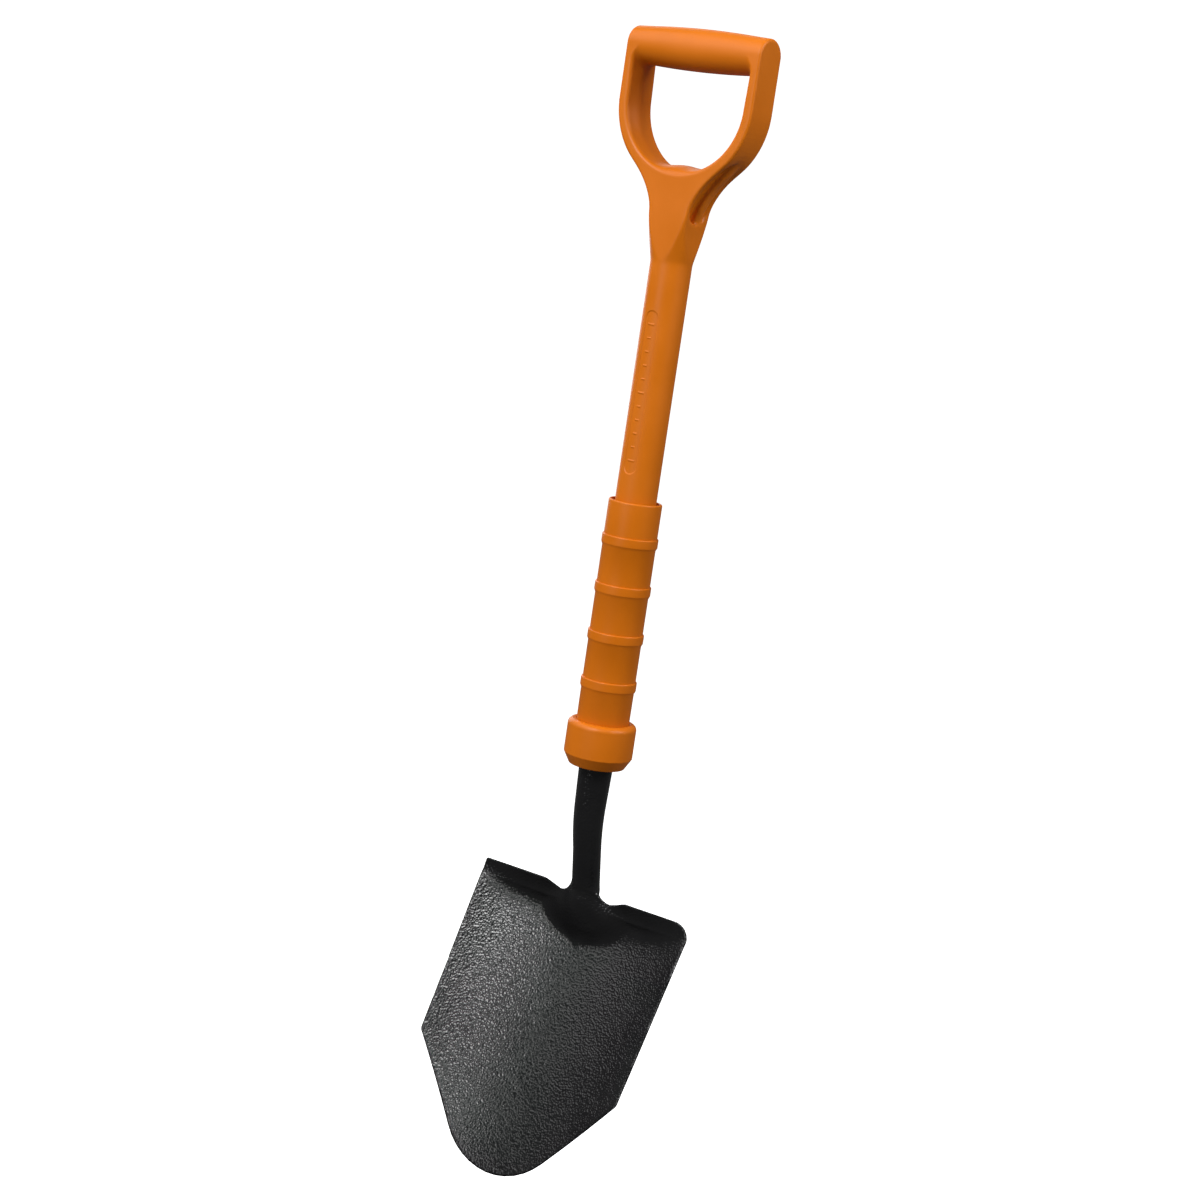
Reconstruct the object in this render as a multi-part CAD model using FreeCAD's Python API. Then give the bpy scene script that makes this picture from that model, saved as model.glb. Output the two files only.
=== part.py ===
import FreeCAD
import Part
import math
import os
from FreeCAD import Vector

# Insulated round-point digging shovel with a D-grip. Units are millimetres.
# Origin: the middle of the hand bar, on the shaft's axis. Heights below are from a datum
# BAR_Z under it, and build() moves every node down by that much.
# +Z runs up the shaft, -Y is the digging side, +X is to the right seen from that side.

# Shaft and its lower end, which tapers into the steel socket
SHAFT_R = 19.0
CORE_R = 11.0
CORE_TOP_Z = -150.0
GRIP_FOOT_Z = -192.0
SOCKET_TOP_Z = -436.0
TAPER_END_Z = -622.0
TAPER_END_R = 13.4
CORE_END_WALL = 8.0

# Raised-tick panel moulded into the front of the shaft
PANEL_TOP_Z = -228.0
PANEL_LENGTH = 148.0
PANEL_WIDTH = 13.5
PANEL_DEPTH = 0.6
TICK_COUNT = 11
TICK_HEIGHT = 1.6

# D-grip
BAR_Z = 2.2
BAR_MID_R = 18.8
BAR_END_R = 18.2
GRIP_HALF_WIDTH = 69.5
LEG_THICKNESS = 12.5
LEG_HALF_DEPTH = 17.5
YOKE_HALF_DEPTH = 19.1
LEG_NARROW_Z = -40.0
YOKE_SPREAD_Z = -105.0
OPENING_ARC_Z = -45.0
OPENING_BOTTOM_Z = -106.0
CROWN_HALF = (24.0, 16.5, 8.5)
YOKE_SHOULDER_Z = -73.6
YOKE_WAIST_Z = -131.0
YOKE_HALF_WIDTH = 19.2
YOKE_FOOT_Z = -150.0
FACET_TOP_Z = -146.0
FACET_TOP_R = 27.0
FACET_END_Z = -186.0
FACET_END_R = 18.58
RECESS_PLACE = (32.0, -121.0)
RECESS_LEAN_DEG = 34.0
RECESS_HALF = (9.0, 10.0, 31.0)
RIB_HALF = (6.5, 3.6, 29.0)
RIB_SINK = 5.0

# Ribbed guard sleeve over the socket, and the collar at its foot
SLEEVE_TOP_Z = -401.0
SLEEVE_R = 24.6
SLEEVE_FOOT_R = 24.3
SLEEVE_BORE_R = 22.0
SLEEVE_END_Z = -632.0
RING_COUNT = 4
RING_FIRST_Z = -433.0
RING_PITCH = 44.7
RING_HEIGHT = 10.8
RING_R = 25.9
COLLAR_TOP_Z = -607.3
COLLAR_END_Z = -649.3
COLLAR_R = 32.0
COLLAR_FOOT_R = 26.0
COLLAR_CHAMFER_H = 10.3
SEAL_HEIGHT = 5.0
SEAL_WALL = 3.0
SPACER_HEIGHT = 12.0
FIT_GAP = 0.1

# Forged head: socket, neck and blade in one piece of steel
SOCKET_WALL = 1.9
SOCKET_FLOOR_Z = -623.0
NECK_TOP_R = 15.9
NECK_R = 13.3
NECK_BEND_Z = -686.0
NECK_LOFT_TOP_Z = -661.0
NECK_SECTION_STEP = 16.0
NECK_SECTIONS = 8
# The ridge behind the blade, below the neck: how far back, half width, half depth
RIDGE_SECTIONS = [(15.6, 13.4, 11.6), (19.4, 12.6, 9.2), (21.6, 9.5, 4.8), (14.1, 4.0, 2.0)]
SHEET = 2.8
LIFT_DEG = 26.7
BLADE_TOP_Y = 10.1
BLADE_TOP_Z = -787.1
BLADE_TOP_HALF = 118.8
SHOULDER_HALF = 113.7
SHOULDER_V = 160.6
TIP_V = 260.0
NOSE_R = 70.0
SHOULDER_R = 6.0
DISH_DEPTH = 24.0
DISH_HALF = 116.0
DISH_TOP_SHARE = 0.4
DISH_RUN = 15.0
LIP_HEIGHT = 13.5
LIP_FORWARD = 5.0
LIP_INNER_U = 45.0
SADDLE_U = 27.0
SADDLE_V = -8.5
FROG_HALF_WIDTH = 44.0
FROG_START_V = -5.0
FROG_RUN = 29.0
FROG_TOP = 8.5
FROG_FALL = 27.0
FROG_POWER = 1.8
FROG_BLEND = 5.0

# Rivets through socket and shaft
RIVET_R = 3.0
RIVET_HEAD_R = 5.0
RIVET_HEAD_H = 1.1
RIVET_UPPER_Z = -462.0
RIVET_LOWER_Z = -508.0

lift = math.radians(LIFT_DEG)
DOWN_BLADE = Vector(0, -math.sin(lift), -math.cos(lift))
OFF_BLADE = Vector(0, -math.cos(lift), math.sin(lift))
BLADE_TOP = Vector(0, BLADE_TOP_Y, BLADE_TOP_Z)


# ---- helpers -------------------------------------------------------------

def blade_point(u, v, w):
    """A point of the blade: u across, v down from the lip's bend, w off the digging side."""
    return BLADE_TOP + Vector(u, 0, 0) + DOWN_BLADE * v + OFF_BLADE * w


def rounded_wire(corners, place):
    """A closed wire through (a, b, radius) corners, each rounded by a tangent arc."""
    edges = []
    last_end = None
    first_start = None
    count = len(corners)
    for i in range(count):
        a, b, radius = corners[i]
        corner = Vector(a, b, 0)
        before = Vector(corners[i - 1][0], corners[i - 1][1], 0) - corner
        after = Vector(corners[(i + 1) % count][0], corners[(i + 1) % count][1], 0) - corner
        before.normalize()
        after.normalize()
        start = end = corner
        arc = None
        if radius > 0:
            half = before.getAngle(after) / 2
            reach = radius / math.tan(half)
            start = corner + before * reach
            end = corner + after * reach
            inward = before + after
            inward.normalize()
            middle = corner + inward * (radius / math.sin(half) - radius)
            arc = Part.Arc(place(start), place(middle), place(end)).toShape()
        if last_end is not None:
            edges.append(Part.LineSegment(place(last_end), place(start)).toShape())
        if arc is not None:
            edges.append(arc)
        if first_start is None:
            first_start = start
        last_end = end
    edges.append(Part.LineSegment(place(last_end), place(first_start)).toShape())
    return Part.Wire(edges)


def turned(corners):
    """A solid turned about Z from a closed (radius, z, corner radius) outline."""
    wire = rounded_wire(corners, lambda p: Vector(p.x, 0, p.y))
    return Part.Face(wire).revolve(Vector(0, 0, 0), Vector(0, 0, 1), 360)


def smooth_max(a, b, blend):
    """The larger of two heights, with the corner between them rounded."""
    share = max(0.0, blend - abs(a - b)) / blend
    return max(a, b) + share * share * blend / 4


def socket_inner_r(z):
    """Radius of the tapered joint between the shaft's end and the socket."""
    share = (SOCKET_TOP_Z - z) / (SOCKET_TOP_Z - TAPER_END_Z)
    return SHAFT_R + (TAPER_END_R - SHAFT_R) * share


def mirrored_x(shape):
    return shape.mirror(Vector(0, 0, 0), Vector(1, 0, 0))


# ---- D-grip --------------------------------------------------------------

def grip_outline():
    """Front view of the grip's legs and yoke."""
    half = [
        (GRIP_HALF_WIDTH, BAR_Z + BAR_MID_R + 1, 0),
        (GRIP_HALF_WIDTH, YOKE_SHOULDER_Z, 74),
        (YOKE_HALF_WIDTH, YOKE_WAIST_Z, 68),
        (YOKE_HALF_WIDTH, FACET_END_Z, 0),
    ]
    left = [(-x, z, r) for x, z, r in reversed(half)]
    return rounded_wire(half + left, lambda p: Vector(p.x, -30, p.y))


def grip_side_profile():
    """Side view: the legs' tops are as round as the bar, the yoke just deeper than the shaft."""
    half = [
        (LEG_HALF_DEPTH, LEG_NARROW_Z, 60),
        (LEG_HALF_DEPTH, YOKE_SPREAD_Z, 60),
        (YOKE_HALF_DEPTH, YOKE_FOOT_Z, 30),
        (YOKE_HALF_DEPTH, FACET_END_Z - 2, 0),
    ]
    left = [(-y, z, r) for y, z, r in reversed(half)]
    corners = [(-BAR_END_R, BAR_Z, 0), (BAR_END_R, BAR_Z, 0)] + half + left
    return rounded_wire(corners, lambda p: Vector(-90, p.x, p.y))


def grip_opening():
    """Cutter for the hand opening: straight sides and a half-ellipse below."""
    inner = GRIP_HALF_WIDTH - LEG_THICKNESS
    centre = Vector(0, -30, OPENING_ARC_Z)
    bottom = Vector(0, -30, OPENING_BOTTOM_Z)
    side = Vector(inner, -30, OPENING_ARC_Z)
    ellipse = Part.Ellipse(bottom, side, centre)
    arc = Part.ArcOfEllipse(ellipse, -math.pi / 2, math.pi / 2).toShape()
    first, last = arc.valueAt(arc.FirstParameter), arc.valueAt(arc.LastParameter)
    top_last = Vector(last.x, last.y, 0)
    top_first = Vector(first.x, first.y, 0)
    wire = Part.Wire([
        arc,
        Part.LineSegment(last, top_last).toShape(),
        Part.LineSegment(top_last, top_first).toShape(),
        Part.LineSegment(top_first, first).toShape(),
    ])
    return Part.Face(wire).extrude(Vector(0, 60, 0))


def hand_bar():
    """Barrel-shaped bar between the legs."""
    reach = GRIP_HALF_WIDTH - LEG_THICKNESS / 2
    low = Vector(-reach, 0, BAR_Z)
    high = Vector(reach, 0, BAR_Z)
    low_rim = Vector(-reach, 0, BAR_Z + BAR_END_R)
    high_rim = Vector(reach, 0, BAR_Z + BAR_END_R)
    wire = Part.Wire([
        Part.LineSegment(low, low_rim).toShape(),
        Part.Arc(low_rim, Vector(0, 0, BAR_Z + BAR_MID_R), high_rim).toShape(),
        Part.LineSegment(high_rim, high).toShape(),
        Part.LineSegment(high, low).toShape(),
    ])
    return Part.Face(wire).revolve(Vector(0, 0, BAR_Z), Vector(1, 0, 0), 360)


def ellipsoid(half, lean_deg, place):
    """An ellipsoid of three half-sizes, leant about Y, at a place."""
    ball = Part.makeSphere(1.0)
    stretch = FreeCAD.Matrix()
    stretch.scale(*half)
    ball = ball.transformGeometry(stretch)
    ball.rotate(Vector(0, 0, 0), Vector(0, 1, 0), lean_deg)
    ball.translate(place)
    return ball


def side_recess():
    """Lens-shaped hollow between the yoke's flanges, with a slender rib standing in it."""
    x, z = RECESS_PLACE
    lean = math.radians(RECESS_LEAN_DEG)
    rib_place = Vector(x - RIB_SINK * math.cos(lean), 0, z + RIB_SINK * math.sin(lean))
    hollow = ellipsoid(RECESS_HALF, RECESS_LEAN_DEG, Vector(x, 0, z))
    return hollow.cut(ellipsoid(RIB_HALF, RECESS_LEAN_DEG, rib_place))


def corner_limit():
    """Turned limit that cuts the yoke's corners into facets narrowing down to the shaft."""
    wide = GRIP_HALF_WIDTH + 60
    top = BAR_Z + BAR_MID_R + 5
    return turned([
        (0, FACET_END_Z, 0),
        (FACET_END_R, FACET_END_Z, 0),
        (FACET_TOP_R, FACET_TOP_Z, 0),
        (wide, FACET_TOP_Z + 40, 0),
        (wide, top, 0),
        (0, top, 0),
    ])


def d_grip():
    legs = Part.Face(grip_outline()).extrude(Vector(0, 60, 0))
    profile = Part.Face(grip_side_profile()).extrude(Vector(180, 0, 0))
    cap = Part.makeCylinder(BAR_END_R, 180, Vector(-90, 0, BAR_Z), Vector(1, 0, 0))
    body = legs.common(profile.fuse(cap)).common(corner_limit()).cut(grip_opening())
    foot = Part.makeCylinder(SHAFT_R, YOKE_FOOT_Z - GRIP_FOOT_Z, Vector(0, 0, GRIP_FOOT_Z))
    body = body.fuse(foot).fuse(hand_bar())
    body = body.fuse(ellipsoid(CROWN_HALF, 0, Vector(0, 0, OPENING_BOTTOM_Z - 1)))
    for hollow in (side_recess(), mirrored_x(side_recess())):
        body = body.cut(hollow)
    bore = Part.makeCylinder(CORE_R, CORE_TOP_Z - GRIP_FOOT_Z, Vector(0, 0, GRIP_FOOT_Z))
    return body.cut(bore).removeSplitter()


# ---- shaft ---------------------------------------------------------------

def rivet_hole(z):
    return Part.makeCylinder(RIVET_R, 80, Vector(0, -40, z), Vector(0, 1, 0))


def panel_slot(inset, depth):
    """A stadium-ended slot in the front of the shaft, `inset` inside the panel's edge."""
    half = PANEL_WIDTH / 2 - inset
    top = PANEL_TOP_Z - inset
    end = PANEL_TOP_Z - PANEL_LENGTH + inset
    corners = [(half, top, half * 0.99), (half, end, half * 0.99)]
    corners = corners + [(-half, end, half * 0.99), (-half, top, half * 0.99)]
    wire = rounded_wire(corners, lambda p: Vector(p.x, -SHAFT_R - 2, p.y))
    slot = Part.Face(wire).extrude(Vector(0, 12, 0))
    keep = Part.makeCylinder(SHAFT_R - depth, PANEL_LENGTH + 20, Vector(0, 0, end - 10))
    return slot.cut(keep)


def panel_ticks():
    """Plain raised bars across the panel, every fifth one longer."""
    ticks = []
    pitch = PANEL_LENGTH / (TICK_COUNT + 1)
    for i in range(TICK_COUNT):
        half = 3.6 if i % 5 == 0 else 2.2
        z = PANEL_TOP_Z - pitch * (i + 1) - TICK_HEIGHT / 2
        ticks.append(Part.makeBox(2 * half, 8, TICK_HEIGHT, Vector(-half, -SHAFT_R - 2, z)))
    shell_r = SHAFT_R - 0.1
    shell = Part.makeCylinder(shell_r, PANEL_LENGTH, Vector(0, 0, PANEL_TOP_Z - PANEL_LENGTH))
    return Part.makeCompound(ticks).common(shell)


def shaft_jacket():
    taper = turned([
        (0, GRIP_FOOT_Z, 0),
        (SHAFT_R, GRIP_FOOT_Z, 0),
        (SHAFT_R, SOCKET_TOP_Z, 0),
        (TAPER_END_R, TAPER_END_Z, 1.5),
        (0, TAPER_END_Z, 0),
    ])
    core_end = TAPER_END_Z + CORE_END_WALL
    bore = Part.makeCylinder(CORE_R, GRIP_FOOT_Z - core_end, Vector(0, 0, core_end))
    jacket = taper.cut(bore).cut(panel_slot(0, PANEL_DEPTH)).fuse(panel_ticks())
    for z in (RIVET_UPPER_Z, RIVET_LOWER_Z):
        jacket = jacket.cut(rivet_hole(z))
    return jacket


def shaft_core():
    core_end = TAPER_END_Z + CORE_END_WALL
    core = Part.makeCylinder(CORE_R, CORE_TOP_Z - core_end, Vector(0, 0, core_end))
    for z in (RIVET_UPPER_Z, RIVET_LOWER_Z):
        core = core.cut(rivet_hole(z))
    return core


# ---- guard ---------------------------------------------------------------

def guard_sleeve():
    """Straight tube with four moulded rings: rounded above, chamfered below."""
    outline = [(SLEEVE_BORE_R, SLEEVE_TOP_Z, 0.8), (SLEEVE_R, SLEEVE_TOP_Z, 1.5)]
    for i in range(RING_COUNT):
        top = RING_FIRST_Z - RING_PITCH * i
        foot = top - RING_HEIGHT
        outline += [(SLEEVE_R, top, 0), (RING_R, top, 1.1), (RING_R, foot + 2.6, 0.6)]
        outline += [(SLEEVE_R, foot, 0)]
    outline += [(SLEEVE_FOOT_R, SLEEVE_END_Z, 0), (SLEEVE_BORE_R, SLEEVE_END_Z, 0)]
    return turned(outline)


def guard_collar():
    """Thick foot ring: it holds the sleeve's end and closes on the steel neck."""
    neck_r = neck_radius(COLLAR_END_Z) + FIT_GAP
    seal_top = COLLAR_END_Z + SEAL_HEIGHT
    collar = turned([
        (SLEEVE_R + FIT_GAP, COLLAR_TOP_Z, 0.4),
        (COLLAR_R, COLLAR_TOP_Z, 5.2),
        (COLLAR_R, COLLAR_END_Z + COLLAR_CHAMFER_H, 1.2),
        (COLLAR_FOOT_R, COLLAR_END_Z, 0.8),
        (neck_r + SEAL_WALL, COLLAR_END_Z, 0),
        (neck_r + SEAL_WALL, seal_top, 0),
        (neck_radius(seal_top) + FIT_GAP, seal_top, 0),
        (neck_radius(SLEEVE_END_Z) + FIT_GAP, SLEEVE_END_Z, 0),
        (SLEEVE_R + FIT_GAP, SLEEVE_END_Z, 0),
    ])
    return collar


def neck_seal():
    """Sealing ring round the neck, in the collar's underside."""
    inner = neck_radius(COLLAR_END_Z) + FIT_GAP
    top = COLLAR_END_Z + SEAL_HEIGHT
    end = COLLAR_END_Z + 0.6
    return turned([
        (inner, top, 0),
        (inner + SEAL_WALL - FIT_GAP, top, 0),
        (inner + SEAL_WALL - FIT_GAP, end, 0.8),
        (inner, end, 0.8),
    ])


def sleeve_spacer():
    """Packing ring that fills the gap between the socket's foot and the sleeve."""
    end = SLEEVE_END_Z + 1
    top = end + SPACER_HEIGHT
    return turned([
        (neck_radius(top) + FIT_GAP, top, 0),
        (SLEEVE_BORE_R - FIT_GAP, top, 0),
        (SLEEVE_BORE_R - FIT_GAP, end, 0),
        (neck_radius(end) + FIT_GAP, end, 0),
    ])


def rivet(z):
    """Rivet through socket and shaft, with a low head on each side."""
    face = socket_outer_r(z) - 0.7
    pin = Part.makeCylinder(RIVET_R, 2 * face, Vector(0, -face, z), Vector(0, 1, 0))
    for side in (-1, 1):
        start = Vector(0, side * face, z)
        pin = pin.fuse(Part.makeCylinder(RIVET_HEAD_R, RIVET_HEAD_H + 0.7, start, Vector(0, side, 0)))
    return pin


# ---- forged head ---------------------------------------------------------

def socket_outer_r(z):
    """Outer radius of the socket's cone down to the collar's foot."""
    top_r = SHAFT_R + SOCKET_WALL
    share = (SOCKET_TOP_Z - z) / (SOCKET_TOP_Z - COLLAR_END_Z)
    return top_r + (NECK_TOP_R - top_r) * share


def neck_radius(z):
    """Outer radius of the head above the bend of the neck."""
    if z >= COLLAR_END_Z:
        return socket_outer_r(z)
    return neck_axis_and_radius(z)[1]


def neck_axis_and_radius(z):
    """How far back the neck's axis is at a height, and the neck's radius there."""
    drop = max(0.0, NECK_BEND_Z - z)
    back = 0.0028 * drop * drop if drop < 46 else 5.92 + 0.19 * (drop - 46)
    share = min(1.0, (COLLAR_END_Z - z) / 84.0)
    radius = NECK_TOP_R + (NECK_R - NECK_TOP_R) * share
    return back, radius


def dish_height(u, v):
    """The digging face without lips and frog: a trough that starts shallow at the top."""
    share = 1 - (1 - DISH_TOP_SHARE) * math.exp(-max(0.0, v) / DISH_RUN)
    return -DISH_DEPTH * (1 - (u / DISH_HALF) ** 2) * share


def face_height(u, v):
    """Height of the digging face: trough, forward-bent lip, and the frog below the neck."""
    height = dish_height(u, v)
    rise = min(1.0, max(0.0, -v / LIP_HEIGHT))
    height += (LIP_FORWARD - height) * rise ** 1.3
    reach = math.hypot(u / FROG_HALF_WIDTH, max(0.0, v - FROG_START_V) / FROG_RUN)
    frog = FROG_TOP - FROG_FALL * reach ** FROG_POWER
    return smooth_max(height, frog, FROG_BLEND)


def blade_outline():
    """The blade seen square on: lips, saddles beside the neck, shoulders and nose."""
    apex_v = SHOULDER_V + (TIP_V - SHOULDER_V) * 1.4
    corners = [
        (-LIP_INNER_U, -LIP_HEIGHT, 14),
        (-SADDLE_U, SADDLE_V, 10),
        (-10, -LIP_HEIGHT, 0),
        (10, -LIP_HEIGHT, 0),
        (SADDLE_U, SADDLE_V, 10),
        (LIP_INNER_U, -LIP_HEIGHT, 14),
        (BLADE_TOP_HALF, -LIP_HEIGHT, 15.5),
        (SHOULDER_HALF, SHOULDER_V, SHOULDER_R),
        (0, apex_v, NOSE_R),
        (-SHOULDER_HALF, SHOULDER_V, SHOULDER_R),
        (-BLADE_TOP_HALF, 0, 8),
        (-BLADE_TOP_HALF + 2.0, -LIP_HEIGHT, 3),
    ]
    return rounded_wire(corners, lambda p: blade_point(p.x, p.y, -60))


def blade_sheet():
    """The pressed sheet: a smooth face through its heights, given its thickness."""
    columns = 41
    rows = 57
    v_first = -LIP_HEIGHT - 3
    v_last = TIP_V + 6
    half = BLADE_TOP_HALF + 4
    grid = []
    for j in range(rows):
        v = v_first + (v_last - v_first) * j / (rows - 1)
        row = []
        for i in range(columns):
            u = half * (2 * i / (columns - 1) - 1)
            row.append(blade_point(u, v, face_height(u, v)))
        grid.append(row)
    surface = Part.BSplineSurface()
    surface.interpolate(grid)
    sheet = surface.toShape().extrude(OFF_BLADE * -SHEET)
    prism = Part.Face(blade_outline()).extrude(OFF_BLADE * 100)
    return sheet.common(prism)


def neck_and_ridge():
    """Solid neck that bends back to the blade and runs out as a ridge behind it."""
    sections = []
    for i in range(NECK_SECTIONS):
        z = NECK_LOFT_TOP_Z - NECK_SECTION_STEP * i
        back, radius = neck_axis_and_radius(z)
        sections.append((z, back, radius, radius))
    for i, (back, half_x, half_y) in enumerate(RIDGE_SECTIONS):
        z = NECK_LOFT_TOP_Z - NECK_SECTION_STEP * (NECK_SECTIONS + i)
        sections.append((z, back, half_x, half_y))
    wires = []
    for z, y, half_x, half_y in sections:
        ring = Part.Circle(Vector(0, 0, 0), Vector(0, 0, 1), 1.0).toShape()
        stretch = FreeCAD.Matrix()
        stretch.scale(half_x, half_y, 1.0)
        ring = ring.transformGeometry(stretch)
        ring.translate(Vector(0, y, z))
        wires.append(Part.Wire(ring))
    return Part.makeLoft(wires, True, False)


def socket_cone():
    """Hollow upper part of the head, which takes the shaft's tapered end."""
    join_z = NECK_LOFT_TOP_Z
    return turned([
        (SHAFT_R, SOCKET_TOP_Z, 0),
        (SHAFT_R + SOCKET_WALL, SOCKET_TOP_Z, 0.7),
        (NECK_TOP_R, COLLAR_END_Z, 0),
        (neck_radius(join_z), join_z, 0),
        (0, join_z, 0),
        (0, SOCKET_FLOOR_Z, 0),
        (socket_inner_r(SOCKET_FLOOR_Z), SOCKET_FLOOR_Z, 0),
    ])


def blade_head():
    head = socket_cone().fuse(neck_and_ridge()).fuse(blade_sheet())
    for z in (RIVET_UPPER_Z, RIVET_LOWER_Z):
        head = head.cut(rivet(z))
    return head


# ---- output --------------------------------------------------------------

def build():
    os.makedirs("parts", exist_ok=True)
    nodes = {
        "d_grip": d_grip(),
        "shaft_jacket": shaft_jacket(),
        "shaft_core": shaft_core(),
        "blade_head": blade_head(),
        "rivet_upper": rivet(RIVET_UPPER_Z),
        "rivet_lower": rivet(RIVET_LOWER_Z),
        "guard_sleeve": guard_sleeve(),
        "guard_collar": guard_collar(),
        "neck_seal": neck_seal(),
        "sleeve_spacer": sleeve_spacer(),
    }
    for name, shape in nodes.items():
        solid = shape
        if len(shape.Solids) == 1:
            solid = shape.Solids[0]
        solid.translate(Vector(0, 0, -BAR_Z))
        solid.exportStep("parts/" + name + ".step")
        box = solid.BoundBox
        print(name, len(shape.Solids), solid.isValid(), round(solid.Volume), box)


build()
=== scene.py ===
import bmesh
import bpy
import math
import numpy as np
from mathutils import Matrix, Vector


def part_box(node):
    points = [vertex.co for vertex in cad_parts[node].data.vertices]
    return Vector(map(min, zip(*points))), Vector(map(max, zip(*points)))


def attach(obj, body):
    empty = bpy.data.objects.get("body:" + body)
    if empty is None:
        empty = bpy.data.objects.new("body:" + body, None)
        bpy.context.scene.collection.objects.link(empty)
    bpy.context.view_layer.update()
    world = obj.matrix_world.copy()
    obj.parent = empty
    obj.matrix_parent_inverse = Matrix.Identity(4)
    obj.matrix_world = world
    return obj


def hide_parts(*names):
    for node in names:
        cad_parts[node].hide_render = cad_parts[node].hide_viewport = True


# Lengths are millimetres unless a name ends in _M. Heights are from a datum BAR_Z under the
# hand bar's middle, which is the frame's origin; mesh_piece() moves the points to the frame.
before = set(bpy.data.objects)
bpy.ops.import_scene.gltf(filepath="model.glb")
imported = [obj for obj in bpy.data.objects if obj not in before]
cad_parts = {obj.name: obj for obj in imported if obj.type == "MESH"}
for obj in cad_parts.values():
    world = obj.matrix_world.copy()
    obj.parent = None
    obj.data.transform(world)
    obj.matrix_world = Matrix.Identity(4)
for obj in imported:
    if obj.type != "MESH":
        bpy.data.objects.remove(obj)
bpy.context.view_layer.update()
scene = bpy.context.scene
MM = 0.001

# ---- camera ----------------------------------------------------------------

CAMERA_AZIMUTH = math.radians(33.3)
CAMERA_ELEVATION = math.radians(9.65)
CAMERA_ROLL = math.radians(8.43)
CAMERA_PLACE_M = (1.1722, -1.8190, -0.1303)
CAMERA_LENS = 72
CAMERA_SENSOR = 36
CAMERA_REACH_M = 50


def direction(azimuth, elevation):
    """Unit vector away from the object; azimuth 0 is the digging side, -Y."""
    level = math.cos(elevation)
    return Vector((math.sin(azimuth) * level, -math.cos(azimuth) * level, math.sin(elevation)))


def make_camera():
    data = bpy.data.cameras.new("camera")
    data.lens = CAMERA_LENS
    data.sensor_width = CAMERA_SENSOR
    data.clip_end = CAMERA_REACH_M
    camera = bpy.data.objects.new("camera", data)
    scene.collection.objects.link(camera)
    back = direction(CAMERA_AZIMUTH, CAMERA_ELEVATION)
    right = Vector((math.cos(CAMERA_AZIMUTH), math.sin(CAMERA_AZIMUTH), 0))
    up = back.cross(right)
    turned_right = right * math.cos(CAMERA_ROLL) + up * math.sin(CAMERA_ROLL)
    turned_up = up * math.cos(CAMERA_ROLL) - right * math.sin(CAMERA_ROLL)
    place = Matrix((turned_right, turned_up, back)).transposed().to_4x4()
    place.translation = Vector(CAMERA_PLACE_M)
    camera.matrix_world = place
    scene.camera = camera


make_camera()

# ---- dimensions that several pieces share ----------------------------------

BAR_Z = 2.2
SHAFT_R = 19.0
CORE_R = 11.0
CORE_TOP_Z = -150.0
CORE_END_Z = -614.0
TAPER_TOP_Z = -436.0
TAPER_END_Z = -622.0
NECK_TOP_R = 15.9
CLOSED_R = 0.2


def foot_and_top(node):
    """Heights of a CAD node's lowest and highest points."""
    low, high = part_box(node)
    return low.z / MM + BAR_Z, high.z / MM + BAR_Z


GRIP_FOOT_Z = foot_and_top("d_grip")[0]
SLEEVE_END_Z, SLEEVE_TOP_Z = foot_and_top("guard_sleeve")
COLLAR_END_Z, COLLAR_TOP_Z = foot_and_top("guard_collar")


# ---- shaping helpers -------------------------------------------------------

ARC_STEPS = 12


def smooth_step(value):
    share = np.clip(value, 0, 1)
    return share * share * (3 - 2 * share)


def join(a, b, blend):
    """Union of two fields with a fillet about `blend` wide."""
    share = np.maximum(blend - np.abs(a - b), 0)
    return np.minimum(a, b) - share * share / (4 * blend)


def meet(a, b, blend):
    """Intersection of two fields with a rounded edge."""
    return -join(-a, -b, blend)


def rounded_outline(corners):
    """Points of a closed outline through (a, b, radius) corners."""
    points = []
    count = len(corners)
    for i in range(count):
        corner = np.array(corners[i][:2], float)
        radius = corners[i][2]
        before = np.array(corners[i - 1][:2], float) - corner
        after = np.array(corners[(i + 1) % count][:2], float) - corner
        before /= np.linalg.norm(before)
        after /= np.linalg.norm(after)
        if radius <= 0:
            points.append(corner)
            continue
        half = math.acos(float(np.clip(before @ after, -1, 1))) / 2
        inward = (before + after) / np.linalg.norm(before + after)
        centre = corner + inward * radius / math.sin(half)
        start = corner + before * radius / math.tan(half) - centre
        end = corner + after * radius / math.tan(half) - centre
        first = math.atan2(start[1], start[0])
        sweep = (math.atan2(end[1], end[0]) - first + math.pi) % (2 * math.pi) - math.pi
        for k in range(ARC_STEPS + 1):
            angle = first + sweep * k / ARC_STEPS
            points.append(centre + radius * np.array([math.cos(angle), math.sin(angle)]))
    return np.array(points)


def outline_distance(a, b, points):
    """Signed distance to a closed outline: negative inside."""
    a, b = np.broadcast_arrays(a, b)
    best = np.full(a.shape, 1e9)
    inside = np.zeros(a.shape, bool)
    for (a0, b0), (a1, b1) in zip(points, np.roll(points, -1, axis=0)):
        da, db = a1 - a0, b1 - b0
        length = da * da + db * db
        if length < 1e-9:
            continue
        share = np.clip(((a - a0) * da + (b - b0) * db) / length, 0, 1)
        gap = (a - a0 - share * da) ** 2 + (b - b0 - share * db) ** 2
        best = np.minimum(best, gap)
        if db != 0:
            crosses = (b0 > b) != (b1 > b)
            inside ^= crosses & (a < a0 + (b - b0) * da / db)
    return np.where(inside, -1, 1) * np.sqrt(best)


# ---- meshing ---------------------------------------------------------------

def corner_values(field, lo, hi, cell):
    axes = [np.arange(lo[i], hi[i] + cell, cell) for i in range(3)]
    x, y, z = np.meshgrid(*axes, indexing="ij", sparse=True)
    return np.broadcast_to(field(x, y, z), tuple(len(a) for a in axes))


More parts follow.
